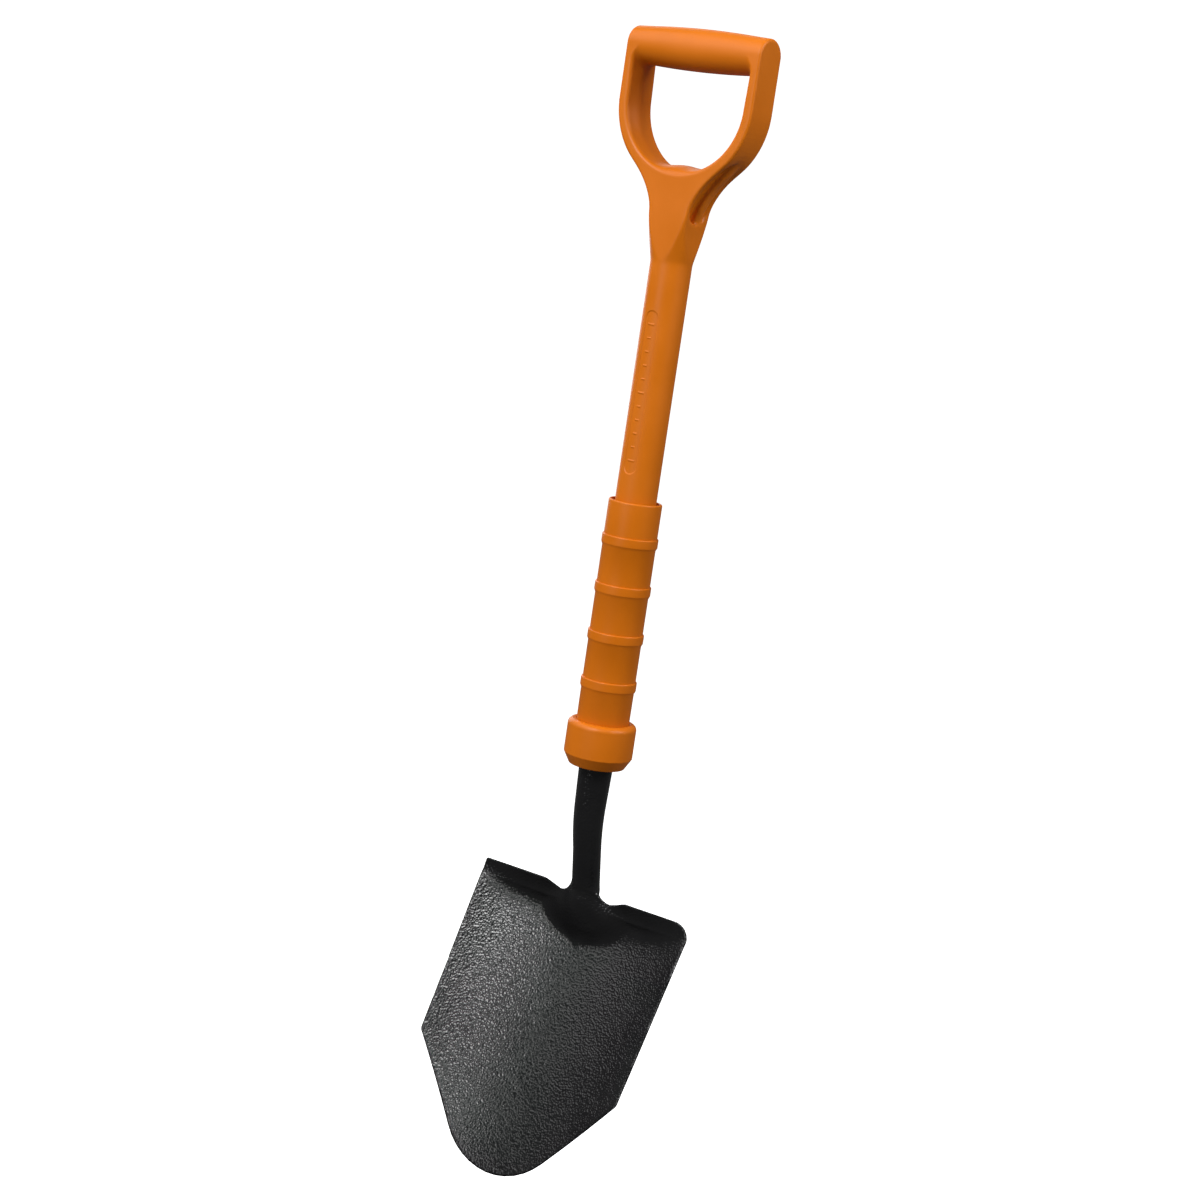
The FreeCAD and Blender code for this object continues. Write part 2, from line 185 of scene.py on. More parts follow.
def surface_net(field, lo, hi, cell):
    """Quads over the field's zero surface, one point per crossed cell."""
    values = corner_values(field, lo, hi, cell)
    inside = values < 0
    shape = np.array(values.shape) - 1
    corners = [(i, j, k) for i in (0, 1) for j in (0, 1) for k in (0, 1)]

    def part(array, offset):
        i, j, k = offset
        return array[i:i + shape[0], j:j + shape[1], k:k + shape[2]]

    count = sum(part(inside, c).astype(np.int8) for c in corners)
    cells = np.argwhere((count > 0) & (count < 8))
    number = np.full(shape, -1)
    number[tuple(cells.T)] = np.arange(len(cells))
    total = np.zeros((len(cells), 3))
    weight = np.zeros(len(cells))
    for c in corners:
        for axis in range(3):
            if c[axis]:
                continue
            d = tuple(c[n] + (n == axis) for n in range(3))
            first = values[tuple((cells + c).T)]
            second = values[tuple((cells + d).T)]
            crossed = (first < 0) != (second < 0)
            share = np.where(crossed, first / np.where(crossed, first - second, 1), 0)
            spot = np.array(c, float) + share[:, None] * np.eye(3)[axis]
            total += np.where(crossed[:, None], spot, 0)
            weight += crossed
    points = (cells + total / weight[:, None]) * cell + np.array(lo)
    quads = []
    for axis in range(3):
        p, q = (axis + 1) % 3, (axis + 2) % 3
        low = [slice(1, -1)] * 3
        high = [slice(1, -1)] * 3
        low[axis], high[axis] = slice(0, -1), slice(1, None)
        change = inside[tuple(low)].astype(np.int8) - inside[tuple(high)]
        at = np.argwhere(change != 0)
        sign = change[tuple(at.T)]
        base = at + 1
        base[:, axis] -= 1
        ring = []
        for dp, dq in ((-1, -1), (0, -1), (0, 0), (-1, 0)):
            spot = base.copy()
            spot[:, p] += dp
            spot[:, q] += dq
            ring.append(number[tuple(spot.T)])
        ring = np.stack(ring, 1)
        ring[sign < 0] = ring[sign < 0][:, ::-1]
        quads.append(ring)
    return points, np.concatenate(quads)


def gradient(field, points, step=0.05):
    parts = []
    for axis in range(3):
        ahead, behind = points.copy(), points.copy()
        ahead[:, axis] += step
        behind[:, axis] -= step
        parts.append((field(*ahead.T) - field(*behind.T)) / (2 * step))
    return np.stack(parts, 1)


def onto_surface(field, points, rounds, limit):
    for _ in range(rounds):
        slope = gradient(field, points)
        size = np.maximum((slope ** 2).sum(1), 0.05)
        move = -(field(*points.T) / size)[:, None] * slope
        length = np.linalg.norm(move, axis=1, keepdims=True)
        points = points + move * np.minimum(1, limit / np.maximum(length, 1e-9))
    return points


def evened(points, quads):
    """Each point moved halfway to the middle of its neighbours."""
    total = np.zeros_like(points)
    weight = np.zeros(len(points))
    for k in range(4):
        here, there = quads[:, k], quads[:, (k + 1) % 4]
        np.add.at(total, here, points[there])
        np.add.at(total, there, points[here])
        np.add.at(weight, here, 1)
        np.add.at(weight, there, 1)
    return (points + total / weight[:, None]) / 2


def mesh_piece(name, points, quads, node, material, crease=50):
    """A shown piece that stands for a CAD node."""
    data = bpy.data.meshes.new(name)
    points = np.asarray(points) - np.array([0, 0, BAR_Z])
    data.vertices.add(len(points))
    data.vertices.foreach_set("co", (points * MM).astype(np.float32).ravel())
    data.loops.add(len(quads) * 4)
    data.loops.foreach_set("vertex_index", np.asarray(quads, np.int32).ravel())
    data.polygons.add(len(quads))
    data.polygons.foreach_set("loop_start", np.arange(0, len(quads) * 4, 4, dtype=np.int32))
    data.polygons.foreach_set("use_smooth", np.ones(len(quads), bool))
    data.update(calc_edges=True)
    data.validate()
    data.set_sharp_from_angle(angle=math.radians(crease))
    data.materials.append(material)
    piece = bpy.data.objects.new(name, data)
    scene.collection.objects.link(piece)
    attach(piece, "root")
    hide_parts(node)
    return piece


def field_mesh(field, lo, hi, cell):
    points, quads = surface_net(field, lo, hi, cell)
    points = onto_surface(field, points, 2, cell)
    for _ in range(2):
        points = onto_surface(field, evened(points, quads), 1, cell)
    return points, quads


def grid_quads(rows, columns):
    """Quads of a grid of points that closes on itself both ways."""
    i, j = np.meshgrid(np.arange(rows), np.arange(columns), indexing="ij")
    i, j = i.ravel(), j.ravel()
    on, up = (i + 1) % rows, (j + 1) % columns
    here, there = i * columns, on * columns
    return np.stack([here + j, here + up, there + up, there + j], 1)


def turned(profile, rings=128):
    """Closed (radius, z) outline turned about Z, away from the axis."""
    profile = np.array(profile)
    angles = 2 * math.pi * np.arange(rings) / rings
    points = np.stack([
        np.outer(np.cos(angles), profile[:, 0]).ravel(),
        np.outer(np.sin(angles), profile[:, 0]).ravel(),
        np.tile(profile[:, 1], rings),
    ], 1)
    return points, grid_quads(rings, len(profile))


# ---- materials -------------------------------------------------------------

NOISE_LOW = 0.3
NOISE_HIGH = 0.7
GRAIN_BUMP_M = 0.0002
ORANGE_DARKER = (0.62, 0.152, 0.002)
ORANGE_LIGHTER = (0.67, 0.167, 0.004)
ORANGE_SPECULAR = 0.28
STEEL_DARKER = (0.006, 0.006, 0.0065)
STEEL_LIGHTER = (0.010, 0.010, 0.0105)
HAMMER_SCALE = 600
HAMMER_BUMP_M = 0.00085
HAMMER_STRENGTH = 0.6
ROUGHNESS_SPREAD = 0.12


def material_nodes(name):
    material = bpy.data.materials.new(name)
    material.use_nodes = True
    tree = material.node_tree
    return material, tree, tree.nodes["Principled BSDF"]


def object_noise(tree, scale, detail=3.0):
    place = tree.nodes.new("ShaderNodeTexCoord")
    noise = tree.nodes.new("ShaderNodeTexNoise")
    noise.inputs["Scale"].default_value = scale
    noise.inputs["Detail"].default_value = detail
    tree.links.new(place.outputs["Object"], noise.inputs["Vector"])
    return noise


def ramp(tree, source, low, high):
    """The noise's usual values stretched from low to high."""
    node = tree.nodes.new("ShaderNodeMapRange")
    node.inputs["From Min"].default_value = NOISE_LOW
    node.inputs["From Max"].default_value = NOISE_HIGH
    node.inputs["To Min"].default_value = low
    node.inputs["To Max"].default_value = high
    tree.links.new(source, node.inputs["Value"])
    return node.outputs["Result"]


def colour_mix(tree, source, first, second):
    """A colour between two; sockets 0, 6 and 7 are the factor and the two colours."""
    node = tree.nodes.new("ShaderNodeMix")
    node.data_type = "RGBA"
    node.inputs[6].default_value = (*first, 1)
    node.inputs[7].default_value = (*second, 1)
    tree.links.new(ramp(tree, source, 0, 1), node.inputs[0])
    return node.outputs[2]


def bump(tree, source, distance_m, strength, shader):
    node = tree.nodes.new("ShaderNodeBump")
    node.inputs["Distance"].default_value = distance_m
    node.inputs["Strength"].default_value = strength
    tree.links.new(source, node.inputs["Height"])
    tree.links.new(node.outputs["Normal"], shader.inputs["Normal"])


def orange_polymer():
    material, tree, shader = material_nodes("orange_polymer")
    mottle = object_noise(tree, 22)
    grain = object_noise(tree, 900, 2)
    colour = colour_mix(tree, mottle.outputs["Fac"], ORANGE_DARKER, ORANGE_LIGHTER)
    tree.links.new(colour, shader.inputs["Base Color"])
    tree.links.new(ramp(tree, mottle.outputs["Fac"], 0.36, 0.46), shader.inputs["Roughness"])
    bump(tree, grain.outputs["Fac"], GRAIN_BUMP_M, 0.25, shader)
    shader.inputs["Specular IOR Level"].default_value = ORANGE_SPECULAR
    return material


def black_steel():
    """Hammer-finish powder coat: small rounded cells that each catch the light."""
    material, tree, shader = material_nodes("black_steel")
    place = tree.nodes.new("ShaderNodeTexCoord")
    cells = tree.nodes.new("ShaderNodeTexVoronoi")
    cells.feature = "SMOOTH_F1"
    cells.inputs["Scale"].default_value = HAMMER_SCALE
    tree.links.new(place.outputs["Object"], cells.inputs["Vector"])
    tone = object_noise(tree, 30)
    colour = colour_mix(tree, tone.outputs["Fac"], STEEL_DARKER, STEEL_LIGHTER)
    tree.links.new(colour, shader.inputs["Base Color"])
    tree.links.new(ramp(tree, tone.outputs["Fac"], 0.15, 0.20), shader.inputs["Roughness"])
    bump(tree, cells.outputs["Distance"], HAMMER_BUMP_M, HAMMER_STRENGTH, shader)
    return material


def plain_material(name, first, second, rough, scale, metallic=0.0):
    material, tree, shader = material_nodes(name)
    noise = object_noise(tree, scale)
    source = noise.outputs["Fac"]
    tree.links.new(colour_mix(tree, source, first, second), shader.inputs["Base Color"])
    rougher = rough + ROUGHNESS_SPREAD
    tree.links.new(ramp(tree, source, rough, rougher), shader.inputs["Roughness"])
    shader.inputs["Metallic"].default_value = metallic
    bump(tree, source, GRAIN_BUMP_M, 0.2, shader)
    return material


ORANGE = orange_polymer()
STEEL = black_steel()
FIBREGLASS = plain_material("fibreglass", (0.50, 0.47, 0.32), (0.58, 0.55, 0.40), 0.4, 250)
ZINC = plain_material("rivet_steel", (0.42, 0.42, 0.43), (0.50, 0.50, 0.52), 0.3, 300, 1.0)
RUBBER = plain_material("seal_rubber", (0.016, 0.016, 0.016), (0.024, 0.024, 0.024), 0.6, 400)


# ---- forged head -----------------------------------------------------------
# The blade has its own axes: u to the right, v down the blade from the foot of its lip, and
# w out of the digging face. It leans forward of the shaft's line by the angle LIFT.

# The sheet is 2.8 mm thick, so the cell stays under that.
HEAD_CELL = 1.25
HEAD_BOX = ((-122, -142, -56), (122, 264, 92))
LIFT = math.radians(26.7)
BLADE_TOP_Y = 10.1
BLADE_TOP_Z = -787.1
SHEET = 2.8
SHEET_EDGE_ROUND = 1.6

BLADE_TOP_HALF = 118.6
BLADE_LOW_HALF = 113.6
BLADE_LEFT_TOP_HALF = 116.7
SHOULDER_V = 160.6
TIP_V = 260
NOSE_STRETCH = 1.4
NOSE_R = 70
SHOULDER_R = 6
RIGHT_CORNER_R = 15.5
LEFT_CORNER_R = 8
LEFT_LIP_R = 3

LIP_HEIGHT = 13.5
LIP_FORWARD = 5.0
LIP_CURVE = 1.3
NOTCH_HALVES = (10, 27, 45)
NOTCH_V = -8.5
NOTCH_FLOOR_R = 10
NOTCH_EDGE_R = 14

# At the foot of the lip the dish lacks the share DISH_START of its depth.
DISH_DEPTH = 24.0
DISH_HALF = 116.0
DISH_START = 0.55
DISH_RUN = 6

FROG_HEIGHT = 7.5
FROG_FALL = 27
FROG_CURVE = 1.8
FROG_HALF = 50
FROG_RUN = 30
FROG_TOP_V = -5
FROG_BLEND = 10

BEND_TOP_Z = -686
BEND_CURVE = 0.0028
BEND_RUN = 46
BEND_REACH = 5.92
BEND_SLOPE = 0.19
NECK_NARROWING = 2.6
NECK_RUN = 84
NECK_LAP = 2
NECK_END_Z = -852
NECK_FIELD_SCALE = 0.96
RIDGE_TOP_Z = -765
RIDGE_FADE = 10
RIDGE_Z = (-853, -837, -821, -805, -789, -773)
RIDGE_BACK = (8.0, 15.2, 22.0, 19.6, 15.6, 13.7)
RIDGE_ACROSS = (1.5, 4.5, 9.5, 12.6, 13.4, 13.3)
RIDGE_DEEP = (1.0, 2.2, 4.6, 8.8, 11.6, 13.3)
RIDGE_SOFTENING = (-8, -4, 0, 4, 8)

NECK_FILLET = 9
FACE_FILLET = 1
FACE_FILLET_V = 18
FACE_FILLET_RUN = 20


def dish_height(u, v):
    share = 1 - DISH_START * np.exp(-np.maximum(0, v) / DISH_RUN)
    return -DISH_DEPTH * (1 - (u / DISH_HALF) ** 2) * share


def face_height(u, v):
    """Digging face: trough, forward-bent lip, and the frog below the neck."""
    height = dish_height(u, v)
    rise = np.clip(-v / LIP_HEIGHT, 0, 1)
    height = height + (LIP_FORWARD - height) * rise ** LIP_CURVE
    reach = np.hypot(u / FROG_HALF, np.maximum(0, v - FROG_TOP_V) / FROG_RUN)
    return -join(-height, -(FROG_HEIGHT - FROG_FALL * reach ** FROG_CURVE), FROG_BLEND)


def sheet_distance(u, v, w, step=0.2):
    across = (face_height(u + step, v) - face_height(u - step, v)) / (2 * step)
    down = (face_height(u, v + step) - face_height(u, v - step)) / (2 * step)
    lean = np.sqrt(1 + across ** 2 + down ** 2)
    middle = face_height(u, v) - SHEET / 2 * lean
    return np.abs(w - middle) / lean - SHEET / 2


def blade_outline():
    apex = SHOULDER_V + (TIP_V - SHOULDER_V) * NOSE_STRETCH
    flat, floor, edge = NOTCH_HALVES
    return rounded_outline([
        (-flat, -LIP_HEIGHT, 0),
        (flat, -LIP_HEIGHT, 0),
        (floor, NOTCH_V, NOTCH_FLOOR_R),
        (edge, -LIP_HEIGHT, NOTCH_EDGE_R),
        (BLADE_TOP_HALF, -LIP_HEIGHT, RIGHT_CORNER_R),
        (BLADE_LOW_HALF, SHOULDER_V, SHOULDER_R),
        (0, apex, NOSE_R),
        (-BLADE_LOW_HALF, SHOULDER_V, SHOULDER_R),
        (-BLADE_TOP_HALF, 0, LEFT_CORNER_R),
        (-BLADE_LEFT_TOP_HALF, -LIP_HEIGHT, LEFT_LIP_R),
        (-edge, -LIP_HEIGHT, NOTCH_EDGE_R),
        (-floor, NOTCH_V, NOTCH_FLOOR_R),
    ])


def blade_to_frame(v, w):
    """The frame's y and height of a blade point."""
    y = BLADE_TOP_Y - v * math.sin(LIFT) - w * math.cos(LIFT)
    z = BLADE_TOP_Z - v * math.cos(LIFT) + w * math.sin(LIFT)
    return y, z


def along_ridge(z, values):
    """Values read off between RIDGE_Z, with the joints between stretches smoothed."""
    readings = (np.interp(z + shift, RIDGE_Z, values) for shift in RIDGE_SOFTENING)
    return sum(readings) / len(RIDGE_SOFTENING)


def neck_distance(u, v, w):
    """Bent round neck that runs out as a low ridge behind the blade."""
    y, z = blade_to_frame(v, w)
    drop = np.maximum(0, BEND_TOP_Z - z)
    straight = BEND_REACH + BEND_SLOPE * (drop - BEND_RUN)
    bend = np.where(drop < BEND_RUN, BEND_CURVE * drop ** 2, straight)
    radius = NECK_TOP_R - NECK_NARROWING * np.clip((COLLAR_END_Z - z) / NECK_RUN, 0, 1)
    share = smooth_step((RIDGE_TOP_Z - z) / RIDGE_FADE)
    back = bend * (1 - share) + along_ridge(z, RIDGE_BACK) * share
    across = radius * (1 - share) + along_ridge(z, RIDGE_ACROSS) * share
    deep = radius * (1 - share) + along_ridge(z, RIDGE_DEEP) * share
    tube = (np.hypot(u / across, (y - back) / deep) - 1) * np.minimum(across, deep)
    tube = np.maximum(tube, z - (COLLAR_END_Z + NECK_LAP))
    return np.maximum(tube, NECK_END_Z - z) * NECK_FIELD_SCALE


def make_head():
    outline = blade_outline()

    def field(u, v, w):
        edge = outline_distance(u, v, outline)
        sheet = meet(sheet_distance(u, v, w), edge, SHEET_EDGE_ROUND)
        before = smooth_step((w - face_height(u, v)) / SHEET + 1)
        lower = smooth_step((v - FACE_FILLET_V) / FACE_FILLET_RUN)
        blend = NECK_FILLET - (NECK_FILLET - FACE_FILLET) * before * lower
        return join(sheet, neck_distance(u, v, w), blend)

    points, quads = field_mesh(field, *HEAD_BOX, HEAD_CELL)
    u, v, w = points.T
    y, z = blade_to_frame(v, w)
    points = np.stack([u, y, z], 1)
    mesh_piece("head_forging", points, quads[:, ::-1], "blade_head", STEEL)


SOCKET_TOP_R = 20.9
SOCKET_INNER_R = 13.4
SOCKET_FLOOR_Z = -623
SOCKET_FOOT_R = 15.4
SOCKET_FOOT_Z = -661
TURNED_CREASE = 30


def make_socket():
    """The hidden cone that takes the shaft's tapered end."""
    points, quads = turned([
        (SHAFT_R, TAPER_TOP_Z),
        (SOCKET_TOP_R, TAPER_TOP_Z),
        (NECK_TOP_R, COLLAR_END_Z),
        (SOCKET_FOOT_R, SOCKET_FOOT_Z),
        (CLOSED_R, SOCKET_FOOT_Z),
        (CLOSED_R, SOCKET_FLOOR_Z),
        (SOCKET_INNER_R, SOCKET_FLOOR_Z),
    ])
    mesh_piece("head_socket", points, quads, "blade_head", STEEL, TURNED_CREASE)


# ---- D-grip ----------------------------------------------------------------

GRIP_CELL = 1.0
GRIP_BOX_HALF = 73
GRIP_BOX_HALF_DEPTH = 23
GRIP_BOX_TOP_Z = 25
GRIP_HALF_WIDTH = 70.2
GRIP_OUTLINE_TOP_Z = 26
GRIP_OUTLINE_END_Z = -200
GRIP_EDGE_ROUND = 3.2
LEG_HALF_DEPTH = 18.2
LEG_END_Z = -73.6
LEG_END_R = 74

YOKE_HALF_DEPTH = 19.15
YOKE_TOP_Z = -104
YOKE_RUN = 44
WAIST_HALF = 19.25
WAIST_Z = -131
WAIST_R = 68
FACET_Z = -146
FACET_R = 27
FACET_FLARE_ABOVE = 2.5
FACET_FLARE_BELOW = 8 / 38
FACET_EDGE = 0.8
FOOT_TOP_Z = -150
FOOT_FILLET = 0.6
FOOT_RIM = 1.8
FOOT_BAND = 1.5
FOOT_SPARE = 1
BOX_MARGIN = 4

BAR_MID_R = 18.75
BAR_END_R = 16.8
BAR_HALF_LENGTH = 64
BAR_FILLET = 6
BAR_TOP_ROUNDING = 0.12

GRIP_INNER_HALF = 57.0
OPENING_ARC_Z = -45.0
OPENING_BOTTOM_Z = -106.0
OPENING_FLARE = 3.2
OPENING_SPREAD = 1.5
OPENING_EDGE_ROUND = 4
CROWN_HEIGHT = 8
CROWN_HALF = 21
CROWN_HALF_DEPTH = 17.5

RECESS_LEAN = math.radians(34)
RECESS_X = 32
RECESS_Z = -121
RECESS_HALVES = (6.5, 16.5, 34)
RECESS_EDGE_ROUND = 3.5
RIB_NORMAL = -1.5
RIB_Y = 4
RIB_HALVES = (6, 6.0, 33)
RIB_FILLET = 4


def grip_outline():
    half = [
        (GRIP_HALF_WIDTH, GRIP_OUTLINE_TOP_Z, 0),
        (GRIP_HALF_WIDTH, LEG_END_Z, LEG_END_R),
        (WAIST_HALF, WAIST_Z, WAIST_R),
        (WAIST_HALF, GRIP_OUTLINE_END_Z, 0),
    ]
    return rounded_outline(half + [(-x, z, r) for x, z, r in reversed(half)])


def opening_distance(x, y, z):
    """Hand opening: wider at its front edge and towards the bar, with a half-ellipse below
    and a crown across its foot."""
    middle = np.clip(1 - (y / CROWN_HALF_DEPTH) ** 2, 0, 1)
    crown = CROWN_HEIGHT * np.exp(-(x / CROWN_HALF) ** 2) * middle
    foot = OPENING_ARC_Z - OPENING_BOTTOM_Z - crown
    drop = np.maximum(0, OPENING_ARC_Z - z)
    half = GRIP_INNER_HALF + OPENING_FLARE * smooth_step(-y / LEG_HALF_DEPTH)
    half = half + OPENING_SPREAD * np.clip(1 - z / OPENING_ARC_Z, 0, 1)
    return (np.hypot(x / half, drop / foot) - 1) * half


def ellipsoid_distance(a, b, c, halves):
    """Rough signed distance to an ellipsoid, exact along its first axis."""
    reach = np.sqrt((a / halves[0]) ** 2 + (b / halves[1]) ** 2 + (c / halves[2]) ** 2)
    return (reach - 1) * halves[0]


def recess_distance(x, y, z):
    """Lens-shaped hollow between the yoke's flanges, with a slender rib standing in it."""
    a, c = np.abs(x) - RECESS_X, z - RECESS_Z
    normal = a * math.cos(RECESS_LEAN) - c * math.sin(RECESS_LEAN)
    along = a * math.sin(RECESS_LEAN) + c * math.cos(RECESS_LEAN)
    lens = ellipsoid_distance(normal, y, along, RECESS_HALVES)
    rib = ellipsoid_distance(normal - RIB_NORMAL, y - RIB_Y, along, RIB_HALVES)
    return meet(lens, -rib, RIB_FILLET)


def flat_foot(points):
    """The grip's foot cut square, with a crisp rim that meets the jacket's."""
    low = points[:, 2] < GRIP_FOOT_Z + FOOT_BAND
    reach = np.hypot(points[:, 0], points[:, 1])
    rim = low & (reach > SHAFT_R - FOOT_RIM)
    points[rim, :2] *= (SHAFT_R / reach[rim])[:, None]
    points[low, 2] = GRIP_FOOT_Z
    return points


def make_grip():
    outline = grip_outline()

    def field(x, y, z):
        deeper = smooth_step((YOKE_TOP_Z - z) / YOKE_RUN)
        depth = LEG_HALF_DEPTH + (YOKE_HALF_DEPTH - LEG_HALF_DEPTH) * deeper
        over = np.maximum(0, z - BAR_Z) * (1 + BAR_TOP_ROUNDING * (x / GRIP_HALF_WIDTH) ** 2)
        reach = np.hypot(y, over)
        body = meet(outline_distance(x, z, outline), reach - depth, GRIP_EDGE_ROUND)
        body = meet(body, -opening_distance(x, y, z), OPENING_EDGE_ROUND)
        flare = np.where(z > FACET_Z, FACET_FLARE_ABOVE, FACET_FLARE_BELOW)
        facet = FACET_R + flare * (z - FACET_Z)
        body = meet(body, np.hypot(x, y) - facet, FACET_EDGE)
        body = meet(body, -recess_distance(x, y, z), RECESS_EDGE_ROUND)
        foot = np.maximum(np.hypot(x, y) - SHAFT_R, z - FOOT_TOP_Z)
        body = join(body, foot, FOOT_FILLET)
        outward = (x / GRIP_INNER_HALF) ** 2
        bar_r = BAR_MID_R - (BAR_MID_R - BAR_END_R) * outward
        bar_depth = BAR_MID_R - (BAR_MID_R - LEG_HALF_DEPTH) * outward
        bar = np.hypot(y * bar_r / bar_depth, z - BAR_Z) - bar_r
        bar = np.maximum(bar, np.abs(x) - BAR_HALF_LENGTH)
        whole = np.maximum(join(body, bar, BAR_FILLET), reach - np.maximum(depth, bar_depth))
        bore = np.maximum(np.hypot(x, y) - CORE_R, z - CORE_TOP_Z)
        return np.maximum(np.maximum(whole, -bore), GRIP_FOOT_Z - FOOT_SPARE - z)

    low = (-GRIP_BOX_HALF, -GRIP_BOX_HALF_DEPTH, GRIP_FOOT_Z - BOX_MARGIN)
    high = (GRIP_BOX_HALF, GRIP_BOX_HALF_DEPTH, GRIP_BOX_TOP_Z)
    points, quads = field_mesh(field, low, high, GRIP_CELL)
    points = flat_foot(points)
    points[:, 2] = np.clip(points[:, 2], GRIP_FOOT_Z, BAR_Z + BAR_MID_R)
    mesh_piece("grip_moulding", points, quads, "d_grip", ORANGE)


# ---- shaft jacket ----------------------------------------------------------

PANEL_TOP_Z = -228.0
PANEL_LENGTH = 148.0
PANEL_END_Z = PANEL_TOP_Z - PANEL_LENGTH
PANEL_HALF = 6.75
PANEL_DEPTH = 0.6
PANEL_ARC = 0.45
PANEL_FACING = 0.8
TICKS = 11
TICK_HALVES = (3.6, 2.2)
TICK_HALF_HEIGHT = 0.8
TICK_RAISE = 0.45
TICK_EDGE = 0.35
TAPER_NARROWING = 5.6
JACKET_FINE = 100
JACKET_COARSE = 120


def panel_depth(x, z):
    """Sunk stadium on the front with plain raised ticks across it, each fifth one wider."""
    middle = np.clip(z, PANEL_END_Z + PANEL_HALF, PANEL_TOP_Z - PANEL_HALF)
    edge = np.hypot(x, z - middle) - PANEL_HALF
    depth = PANEL_DEPTH * smooth_step(-edge / PANEL_DEPTH)
    pitch = PANEL_LENGTH / (TICKS + 1)
    for i in range(TICKS):
        half = TICK_HALVES[0] if i % 5 == 0 else TICK_HALVES[1]
        height = np.abs(z - (PANEL_TOP_Z - pitch * (i + 1))) - TICK_HALF_HEIGHT
        tick = np.maximum(np.abs(x) - half, height)
        depth = depth - TICK_RAISE * smooth_step(-tick / TICK_EDGE)
    return np.clip(depth, 0, PANEL_DEPTH)


def make_jacket():
    """The shaft's skin; its rings are close together only round the panel."""
    front = np.linspace(-PANEL_ARC, PANEL_ARC, JACKET_FINE)
    rest = np.linspace(PANEL_ARC, 2 * math.pi - PANEL_ARC, JACKET_COARSE)[1:-1]
    angles = np.concatenate([front, rest])
    heights = np.concatenate([
        [GRIP_FOOT_Z, -210, -224],
        np.linspace(PANEL_TOP_Z + 2, PANEL_END_Z - 2, JACKET_FINE * 4),
        [-390, TAPER_TOP_Z, -530, CORE_END_Z + 0.1, CORE_END_Z, TAPER_END_Z],
    ])
    tapered = SHAFT_R - TAPER_NARROWING * (TAPER_TOP_Z - heights) / (TAPER_TOP_Z - TAPER_END_Z)
    radius = np.where(heights < TAPER_TOP_Z, tapered, SHAFT_R)
    angle, z = np.meshgrid(angles, heights, indexing="ij")
    sunk = np.where(np.cos(angle) > PANEL_FACING, panel_depth(SHAFT_R * np.sin(angle), z), 0)
    reach = radius[None, :] - sunk
    outer = np.stack([reach * np.sin(angle), -reach * np.cos(angle), z], 2)
    bore = np.where(z > CORE_END_Z, CORE_R, CLOSED_R)
    inner = np.stack([bore * np.sin(angle), -bore * np.cos(angle), z], 2)
    ring = np.concatenate([outer, inner[:, ::-1]], 1)
    points, quads = ring.reshape(-1, 3), grid_quads(*ring.shape[:2])
    mesh_piece("jacket_moulding", points, quads, "shaft_jacket", ORANGE)


# ---- sleeve and collar -----------------------------------------------------

SLEEVE_BORE_R = 22.0
SLEEVE_R = 24.6
SLEEVE_FOOT_R = 24.3
RINGS = 4
RING_R = 25.9
RING_TOP_Z = -433
RING_PITCH = 44.7
RING_HEIGHT = 8.0
RING_FOOT = 10.8

COLLAR_BORE_R = 24.7
COLLAR_R = 31.95
COLLAR_CHAMFER = 10.3
COLLAR_FOOT_R = 26.0
SEAL_R = 19.0
SEAL_HEIGHT = 5
THROAT_END_R = 16.2
THROAT_TOP_R = 16.6


def make_sleeve():
    corners = [(SLEEVE_BORE_R, SLEEVE_TOP_Z, 0.8), (SLEEVE_R, SLEEVE_TOP_Z, 1.5)]
    for i in range(RINGS):
        top = RING_TOP_Z - RING_PITCH * i
        corners += [
            (SLEEVE_R, top, 0),
            (RING_R, top, 1.1),
            (RING_R, top - RING_HEIGHT, 0.6),
            (SLEEVE_R, top - RING_FOOT, 0),
        ]
    corners += [(SLEEVE_FOOT_R, SLEEVE_END_Z, 0), (SLEEVE_BORE_R, SLEEVE_END_Z, 0)]
    points, quads = turned(rounded_outline(corners))
    mesh_piece(
        "sleeve_moulding", points, quads, "guard_sleeve", ORANGE, TURNED_CREASE)


def make_collar():
    seal_top = COLLAR_END_Z + SEAL_HEIGHT
    points, quads = turned(rounded_outline([
        (COLLAR_BORE_R, COLLAR_TOP_Z, 0.4),
        (COLLAR_R, COLLAR_TOP_Z, 5.2),
        (COLLAR_R, COLLAR_END_Z + COLLAR_CHAMFER, 1.2),
        (COLLAR_FOOT_R, COLLAR_END_Z, 0.8),
        (SEAL_R, COLLAR_END_Z, 0),
        (SEAL_R, seal_top, 0),
        (THROAT_END_R, seal_top, 0),
        (THROAT_TOP_R, SLEEVE_END_Z, 0),
        (COLLAR_BORE_R, SLEEVE_END_Z, 0),
    ]))
    mesh_piece(
        "collar_moulding", points, quads, "guard_collar", ORANGE, TURNED_CREASE)


def show_cad(node, material):
    """A hidden or plain CAD piece that keeps its own shape."""
    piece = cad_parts[node]
    piece.data.materials.clear()
    piece.data.materials.append(material)


# ---- surround and lights ---------------------------------------------------

FLOOR_HALF_M = 18.0
FLOOR_Z_M = -1.6
BACKDROP_R_M = 28
WORLD_STRENGTH = 0.10
LIGHT_AIM_M = (0, 0, -0.5)

# Azimuth and elevation in degrees, distance and size in metres, power in watts.
LIGHTS = (
    ("key", -2, 43, 3.6, 1.3, 86),
    ("fill", 96, 38, 3.0, 1.8, 56),
    ("left", -58, 42, 3.2, 3.0, 40),
    ("low", -8, 13, 3.2, 1.6, 19),
    ("rear", -136, 34, 3.2, 1.2, 5),
    ("back", -122, 12, 3.4, 2.2, 26),
)


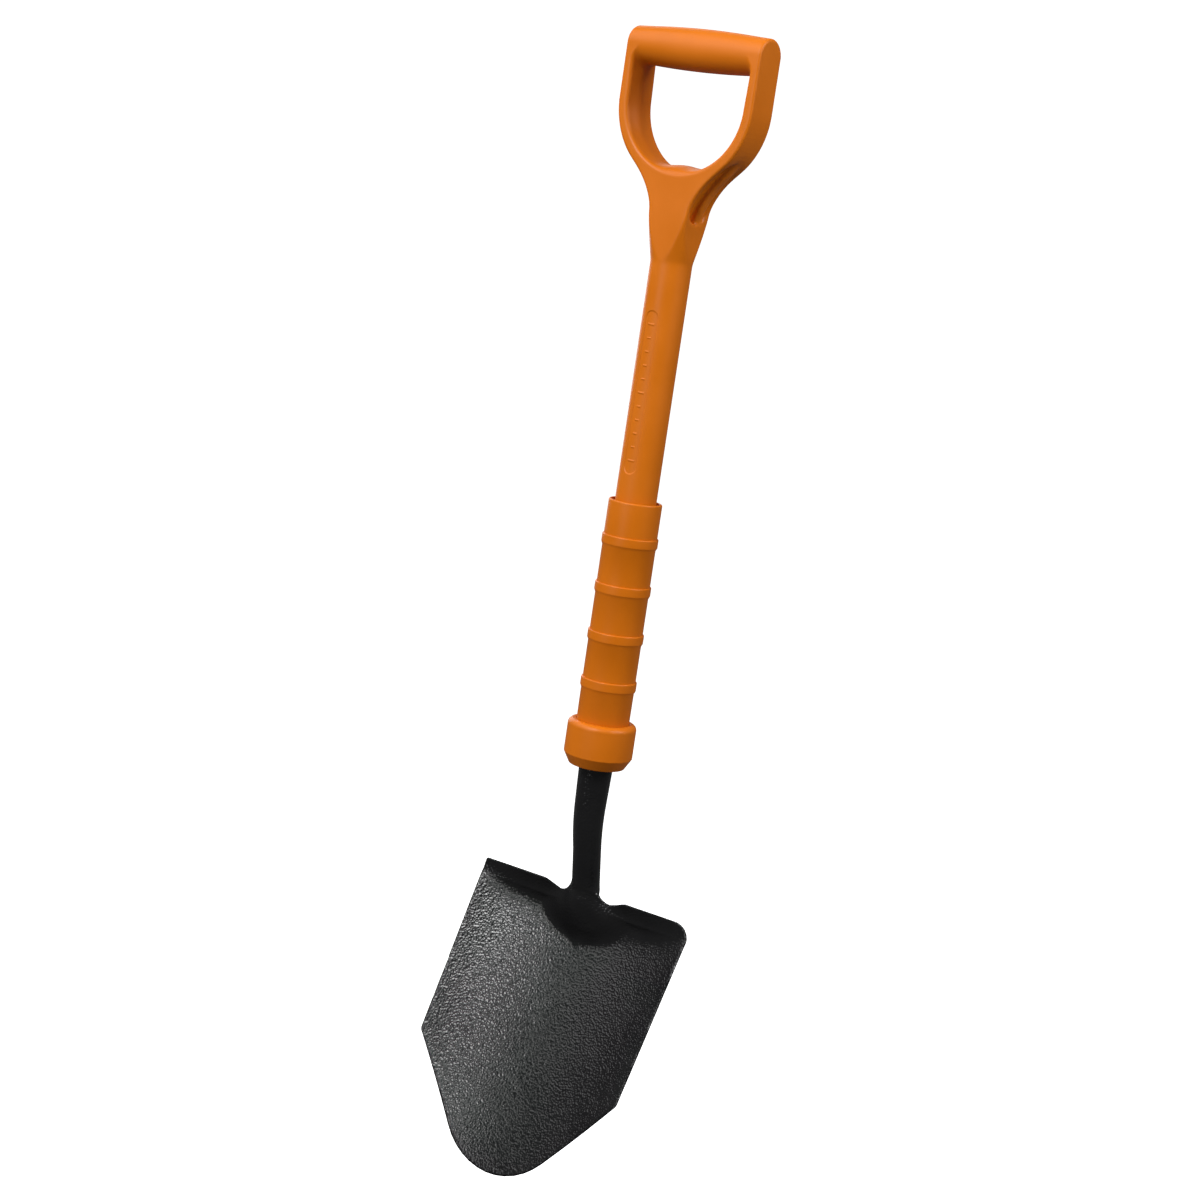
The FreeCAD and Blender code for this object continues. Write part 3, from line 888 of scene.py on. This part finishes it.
def white_stage(name, data):
    """A plain white surround that the camera sees and that adds no light to the object."""
    material, _, shader = material_nodes(name)
    shader.inputs["Base Color"].default_value = (0.9, 0.9, 0.9, 1)
    shader.inputs["Emission Color"].default_value = (1, 1, 1, 1)
    shader.inputs["Emission Strength"].default_value = 1.0
    data.materials.append(material)
    stage = bpy.data.objects.new(name, data)
    scene.collection.objects.link(stage)
    stage.visible_diffuse = False
    stage.visible_glossy = False
    stage.visible_shadow = False


def make_surround():
    """Pale floor well below the tip, inside a wide white backdrop."""
    half, z = FLOOR_HALF_M, FLOOR_Z_M
    corners = [(-half, -half, z), (half, -half, z), (half, half, z), (-half, half, z)]
    floor = bpy.data.meshes.new("floor")
    floor.from_pydata(corners, [], [(0, 1, 2, 3)])
    white_stage("floor", floor)
    backdrop = bpy.data.meshes.new("backdrop")
    shell = bmesh.new()
    bmesh.ops.create_uvsphere(shell, u_segments=48, v_segments=24, radius=BACKDROP_R_M)
    shell.to_mesh(backdrop)
    shell.free()
    white_stage("backdrop", backdrop)


def area_light(name, azimuth, elevation, distance, size, power):
    data = bpy.data.lights.new(name, "AREA")
    data.shape = "DISK"
    data.size = size
    data.energy = power
    light = bpy.data.objects.new(name, data)
    scene.collection.objects.link(light)
    back = direction(math.radians(azimuth), math.radians(elevation))
    light.location = Vector(LIGHT_AIM_M) + back * distance
    light.rotation_mode = "QUATERNION"
    light.rotation_quaternion = (-back).to_track_quat("-Z", "Y")


def make_light():
    world = bpy.data.worlds.new("studio")
    scene.world = world
    world.use_nodes = True
    background = world.node_tree.nodes["Background"]
    background.inputs["Color"].default_value = (1, 1, 1, 1)
    background.inputs["Strength"].default_value = WORLD_STRENGTH
    for light in LIGHTS:
        area_light(*light)
    scene.view_settings.view_transform = "Standard"


make_head()
make_socket()
make_grip()
make_jacket()
make_sleeve()
make_collar()
show_cad("shaft_core", FIBREGLASS)
show_cad("rivet_upper", ZINC)
show_cad("rivet_lower", ZINC)
show_cad("neck_seal", RUBBER)
show_cad("sleeve_spacer", RUBBER)
make_surround()
make_light()
